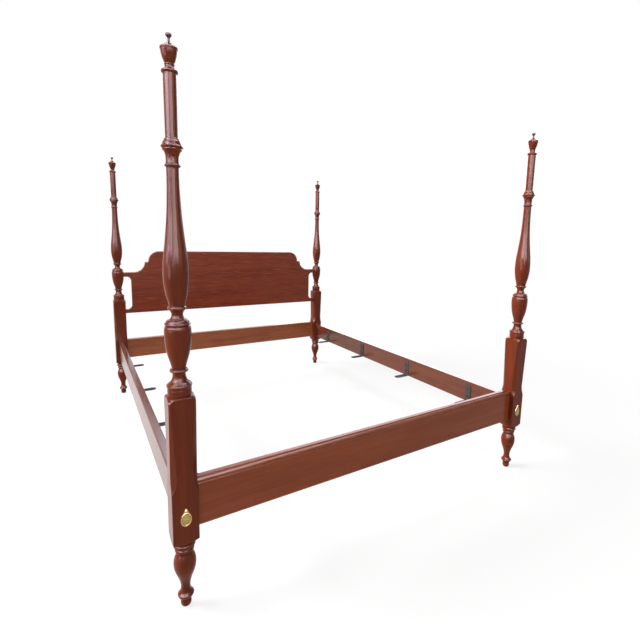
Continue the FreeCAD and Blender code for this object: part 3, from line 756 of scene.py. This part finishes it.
# Oval brass bolt covers, each with a rolled rim, a domed middle and an ear for its screw.
# The rim's and the dome's rows are (share of the oval, height, wear).
cover = {
    "size": (31.5, 43.5),
    "bolt": 314,
    "pivot": 342.5,
    "ear": 5,
    "earShare": 0.94,  # how much of the ear's half turn stays round before the neck
    "neckTurn": 0.42,
    "neckCurve": 2.4,
    "gap": 0.3,
    # rows round the edge from back to front, as (inset, height, wear)
    "lips": ((0.4, 0, 0.2), (0, 0.4, 0.6), (0, 1, 0.8), (0.2, 1.35, 1), (0.6, 1.5, 0.4)),
    "earShares": (0.3, 0.6, 0.85),  # from the edge to the oval
    "earLift": (0.7, 8),  # how much the ear swells, and how far out of the oval it does so in full
    "earWear": (0.7, 4),
    "ovalTop": 0.98,  # share of the oval where the ear ends
    "rim": [
        (0.98, 1.55, 0.4),
        (0.95, 2, 0.9),
        (0.91, 2.2, 1),
        (0.86, 2.1, 0.9),
        (0.81, 1.6, 0),
        (0.78, 1.3, -0.9),
        (0.74, 1.3, -0.5),
    ],
    "dome": [
        (0.66, 1.55, -0.1),
        (0.54, 2, 0),
        (0.4, 2.4, 0),
        (0.27, 2.7, 0),
        (0.15, 2.9, 0),
        (0.04, 2.95, 0),
    ],
    "flutes": (14, 0.22, 3),  # count, half height and wear of the ribs pressed into the dome
    "fluteBand": (0.42, 0.3),  # share of the oval where they are highest, and how far they run each way
    "hole": 3.6,
    "holeSpan": (-2, 6),  # where its cutter starts and ends, out from the back
    "holeSides": 24,
    "columns": 112,
}


def coverReach(angle):  # from the middle to the oval and to the edge, whose ear has a smooth neck
    a, b = cover["size"][0] / 2, cover["size"][1] / 2
    oval = a * b / math.hypot(b * math.cos(angle), a * math.sin(angle))
    tilt = abs((angle - math.pi / 2 + math.pi) % (2 * math.pi) - math.pi)
    rise, ear = cover["pivot"] - cover["bolt"], cover["ear"]
    neck = math.asin(ear / rise) * cover["earShare"]
    held = min(tilt, neck)
    tall = rise * math.cos(held) + math.sqrt(max(0, ear * ear - (rise * math.sin(held)) ** 2))
    if tilt < neck:
        return oval, tall
    share = min(1, (tilt - neck) / cover["neckTurn"])
    return oval, oval + (tall - oval) * (1 - share) ** cover["neckCurve"]


def makeCover(corner, side, end):
    px, face = side * bed["postX"], end * (bed["postY"] + bed["postHalf"] + cover["gap"])
    columns = [(math.cos(a), math.sin(a), a, *coverReach(a)) for a in roundAngles(cover["columns"], 0.5)]
    rows = []
    for back, out, wear in cover["lips"]:
        rows.append([(c * (edge - back), out, s * (edge - back), wear) for c, s, a, oval, edge in columns])
    lastBack, flat, wear = cover["lips"][-1]
    (lift, fullLift), (worn, fullWear) = cover["earLift"], cover["earWear"]
    for share in cover["earShares"]:  # the ear and its neck swell a little
        row = []
        for c, s, a, oval, edge in columns:
            out = flat + lift * min(1, (edge - oval) / fullLift) * math.sin(math.pi * share)
            far = (edge - lastBack) * (1 - share) + oval * cover["ovalTop"] * share
            row.append((c * far, out, s * far, worn * min(1, (edge - oval) / fullWear)))
        rows.append(row)
    (count, height, ribWear), (middle, band) = cover["flutes"], cover["fluteBand"]
    for share, out, wear in cover["rim"] + cover["dome"]:
        row = []
        for c, s, a, oval, edge in columns:
            rib = height * math.cos(count * a) * max(0, 1 - abs(share - middle) / band)
            row.append((c * oval * share, out + rib, s * oval * share, wear + ribWear * rib))
        rows.append(row)
    rows = [[(px + x, face + end * y, cover["bolt"] + z, wear) for x, y, z, wear in row] for row in rows]
    made = loft("boltCover." + corner, rows, pressedBrass)
    low, high = sorted(face + end * out for out in cover["holeSpan"])
    carve(made, [rodCutter(cover["hole"], px, cover["pivot"], low, high, cover["holeSides"])], pressedBrass)
    settle(made, "cover_" + corner, "cover_brass", "bolt_cover_" + corner)


# Round headed brass screws that the covers hang on, with a straight slot. The outline is (diameter, height).
coverScrew = {
    "outline": [(3.4, -16), (3.4, 2.2), (6.6, 2.2), (7, 2.6), (6.6, 3.4), (5.2, 4.1), (3.2, 4.55), (0.8, 4.7)],
    "wear": 0.4,
    "slot": (1.1, 1.2),  # width and depth
    "slotCutter": (6, 1),  # half length, and how far it stands over the crown
    "turns": (28, 40, 15),  # degrees, and what side and end add, so that each is left at its own turn
    "columns": 32,
}


def makeScrew(corner, side, end):
    px, face = side * bed["postX"], end * (bed["postY"] + bed["postHalf"])
    outline = [(width / 2, end * out, coverScrew["wear"]) for width, out in coverScrew["outline"]]
    rows = turnedRows(outline, coverScrew["columns"], (px, face, cover["pivot"]), 1)
    made = loft("coverScrew." + corner, rows, pressedBrass)
    (wide, deep), (reach, lead) = coverScrew["slot"], coverScrew["slotCutter"]
    crown = face + end * coverScrew["outline"][-1][1]
    low, high = sorted((crown + end * lead, crown - end * deep))
    slot = boxCutter(-reach, reach, low, high, -wide / 2, wide / 2)
    slot.location = (px * mm, 0, cover["pivot"] * mm)
    first, bySide, byEnd = coverScrew["turns"]
    slot.rotation_euler = (0, math.radians(first + bySide * side + byEnd * end), 0)
    carve(made, [slot], pressedBrass)
    return made


for corner, (side, end) in corners.items():
    makeCover(corner, side, end)
    standsFor = ["bolt_cover_screws"] if corner == "foot_left" else []  # one CAD node holds all four screws
    settle(makeScrew(corner, side, end), "bed_frame", "cover_brass", *standsFor)
print("covers and screws hung")

# Steel strip brackets that carry the slats: a plate on the rail, a bend under it and a leg with a round end
bracket = {
    "width": 38,
    "thick": 4,
    "plateTop": 366,
    "leg": 97,
    "bend": 7,
    "bendShares": (0, 0.2, 0.4, 0.6, 0.8, 1),
    "bendLead": 2,  # rows this far before and after the bend
    "endTurns": (6, 20, 35, 50, 65, 80, 90),  # degrees round each end
    "edge": 0.9,
    "wear": 0.7,
    "face": 784,
    "places": (-780, -260, 260, 780),
    "screwHeights": (338, 296),
    "screw": [(9.2, 0), (9, 0.7), (7.6, 1.9), (5, 2.6), (1, 2.8)],  # diameter, height
    "screwWear": 0.3,
    "screwColumns": 20,
    "cross": (2.6, 0.5),  # half length and half width of the cross cut in a screw's head
    "crossSpan": (1.5, 4),  # its cutters' lowest and highest, over the plate
}


def makeBracket(name, side, y):
    b = bracket
    half, thick, radius = b["width"] / 2, b["thick"], b["bend"]
    middle = radius - thick / 2
    tall = b["plateTop"] - bed["railBottom"]
    straight, reachIn = tall - radius, b["leg"] - radius
    bendRun = middle * math.pi / 2
    bent = straight + bendRun
    total = bent + reachIn
    ends = [half * (1 - math.cos(math.radians(turn))) for turn in b["endTurns"]]
    stations = ends + [straight - b["bendLead"]] + [straight + bendRun * t for t in b["bendShares"]]
    stations += [bent + b["bendLead"]] + [total - s for s in reversed(ends)]
    rows = []
    for run in stations:
        near = min(run, total - run, half)
        wide = math.sqrt(half * half - (half - near) ** 2)
        if run <= straight:
            inward, height, turn = thick / 2, tall - run, 0
        elif run < bent:
            turn = (run - straight) / middle
            inward, height = radius - middle * math.cos(turn), radius - middle * math.sin(turn)
        else:
            turn = math.pi / 2
            inward, height = radius + run - bent, thick / 2
        deep = thick / 2
        inWide, inDeep = wide - b["edge"], deep - b["edge"]
        loop = [(-wide, -inDeep), (-inWide, -deep), (inWide, -deep), (wide, -inDeep)]
        loop += [(-across, -depth) for across, depth in loop]
        row = []
        for across, depth in loop:  # depth is plus towards the bed's middle on the plate, and up on the leg
            x = inward + depth * math.cos(turn)
            z = height + depth * math.sin(turn)
            row.append((side * (b["face"] - x), y + across, bed["railBottom"] + z, b["wear"]))
        rows.append(row)
    return loft(name, rows, blackEnamel)


def makeBracketScrews(name, side, y):
    plate = side * (bracket["face"] - bracket["thick"])
    x0, x1 = sorted(plate - side * out for out in bracket["crossSpan"])
    long, thin = bracket["cross"]
    outline = [(width / 2, -side * out, bracket["screwWear"]) for width, out in bracket["screw"]]
    for z in bracket["screwHeights"]:
        rows = turnedRows(outline, bracket["screwColumns"], (plate, y, z), 0)
        head = loft(name + "." + str(z), rows, blackEnamel)
        cross = [boxCutter(x0, x1, y - a, y + a, z - b, z + b) for a, b in ((long, thin), (thin, long))]
        carve(head, cross, blackEnamel)
        settle(head, "bed_frame", "black_steel")


for name, side in (("left", -1), ("right", 1)):
    for number, y in enumerate(bracket["places"], 1):
        made = makeBracket("slatBracket." + name + "." + str(number), side, y)
        settle(made, "bed_frame", "black_steel", "slat_bracket_" + name + "_" + str(number))
        makeBracketScrews("bracketScrew." + name + "." + str(number), side, y)
for node in ("bed_bolts", "bed_bolt_nuts"):  # these CAD pieces are right as they are
    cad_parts[node].data.materials.clear()
    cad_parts[node].data.materials.append(oiledSteel)
print("brackets and fasteners set")

# Pale studio: white floor that keeps the bed's shadow, white surroundings, a tall soft light on the left,
# a small one above and a weak one over the camera, none of them seen in the gloss.
# Wide panels, like an open sky, show only in the gloss.
studio = {
    "floor": "#E2E1E0",
    "floorHalf": 14,
    "floorLift": (0.75, 1.0),  # share of plain white seen in the floor, near the bed and far from it
    "floorFade": (1.3, 3.4),  # metres from the bed's middle over which that share grows
    "surround": 0.12,
    "lamps": (  # name, place, size, power and, for a panel of the sky, its tint
        ("leftWindow", (-13.0, 6.6, 6.2), (8.8, 6.8), 7000, None),
        ("overhead", (0.0, 0.2, 4.4), (1.5, 1.5), 90, None),
        ("cameraPanel", (-2.0, -10.0, 4.5), (8.0, 3.0), 640, None),
        ("leftBackSky", (-8.8, -0.3, 4.4), (4.6, 6.4), 1500, (0.92, 0.8, 1.0)),
        ("leftSky", (-8.3, -4.5, 5.2), (7.5, 5.2), 6400, (0.95, 0.86, 1.0)),
        ("leftLowSky", (-8.6, -3.7, 0.75), (3.6, 1.4), 220, (1.0, 0.9, 0.94)),
        ("leftFrontSky", (-5.3, -8.3, 4.4), (2.9, 6.4), 975, (1.0, 0.9, 0.94)),
        ("frontSky", (-0.8, -5.6, 3.1), (3.9, 2.9), 1150, (1.0, 0.9, 0.92)),
        ("rightFrontSky", (5.2, -8.4, 4.4), (4.8, 6.4), 500, (1.0, 0.9, 0.9)),
        ("upperSky", (-0.5, -1.5, 6.5), (8.0, 8.0), 4800, (1.0, 0.9, 0.94)),
        ("headSky", (-1.0, 9.0, 4.6), (12.0, 4.6), 130, (0.92, 0.84, 1.0)),
        ("backSky", (8.0, 6.0, 4.6), (12.0, 4.4), 900, (1.0, 0.9, 0.94)),
        ("midBackSky", (2.4, 6.4, 4.8), (4.6, 1.8), 75, (0.8, 0.82, 1.0)),
    ),
    "aim": (0.0, -0.5, 0.7),
}


def seenWhite(tree):  # 1 for rays that show the surroundings themselves
    path = put(tree, "LightPath").outputs
    seen = path["Is Camera Ray"]
    for ray in ("Is Glossy Ray", "Is Transmission Ray"):
        seen = put(tree, "Math", {0: seen, 1: path[ray]}, operation="MAXIMUM").outputs[0]
    return seen


def makeFloor():
    r = studio["floorHalf"]
    mesh = bpy.data.meshes.new("paleFloor")
    mesh.from_pydata([(-r, -r, 0), (r, -r, 0), (r, r, 0), (-r, r, 0)], [], [(0, 1, 2, 3)])
    floor = bpy.data.objects.new("paleFloor", mesh)
    bpy.context.scene.collection.objects.link(floor)
    material, tree = startMaterial("matteWhitePaint")
    matte = put(tree, "BsdfDiffuse", {"Color": linear(studio["floor"])})
    plain = put(tree, "Emission", {"Color": (1, 1, 1, 1), "Strength": 1})
    place = put(tree, "TexCoord").outputs["Object"]
    away = put(tree, "VectorMath", {0: place}, operation="LENGTH").outputs["Value"]
    (near, far), (low, high) = studio["floorFade"], studio["floorLift"]
    ends = {"Value": away, "From Min": near, "From Max": far, "To Min": low, "To Max": high}
    lift = put(tree, "MapRange", ends)
    share = put(tree, "Math", {0: seenWhite(tree), 1: lift.outputs[0]}, operation="MULTIPLY")
    mixed = put(tree, "MixShader", {0: share.outputs[0], 1: matte.outputs[0], 2: plain.outputs[0]})
    put(tree, "OutputMaterial", {"Surface": mixed.outputs[0]})
    mesh.materials.append(material)


def makeSurround():
    world = bpy.data.worlds.new("whiteStudio")
    bpy.context.scene.world = world
    world.use_nodes = True
    tree = world.node_tree
    tree.nodes.clear()
    level = put(tree, "MapRange", {"Value": seenWhite(tree), "To Min": studio["surround"], "To Max": 1})
    sky = put(tree, "Background", {"Color": (1, 1, 1, 1), "Strength": level.outputs[0]})
    put(tree, "OutputWorld", {"Surface": sky.outputs[0]})


makeFloor()
makeSurround()
for name, place, size, power, tint in studio["lamps"]:
    lamp = bpy.data.lights.new(name, "AREA")
    lamp.shape, lamp.size, lamp.size_y, lamp.energy = "RECTANGLE", size[0], size[1], power
    holder = bpy.data.objects.new(name, lamp)
    holder.location = place
    holder.rotation_euler = (Vector(studio["aim"]) - Vector(place)).to_track_quat("-Z", "Y").to_euler()
    holder.visible_diffuse, holder.visible_glossy = tint is None, tint is not None
    holder.visible_camera = False
    if tint:
        lamp.color = tint
    bpy.context.scene.collection.objects.link(holder)

view = {
    "place": (-1.028, -2.267, 1.147),
    "turn": (82.01, -1.453, -32.706),
    "lens": 23.145,
    "sensor": 36,
    "shift": (-0.0379, -0.0332),
}
eye = bpy.data.cameras.new("photoView")
eye.lens, eye.sensor_width = view["lens"], view["sensor"]
eye.shift_x, eye.shift_y = view["shift"]
stand = bpy.data.objects.new("photoView", eye)
stand.location = view["place"]
stand.rotation_euler = [math.radians(a) for a in view["turn"]]
bpy.context.scene.collection.objects.link(stand)
bpy.context.scene.camera = stand
bpy.context.scene.view_settings.view_transform = "Standard"
print("studio and camera set")
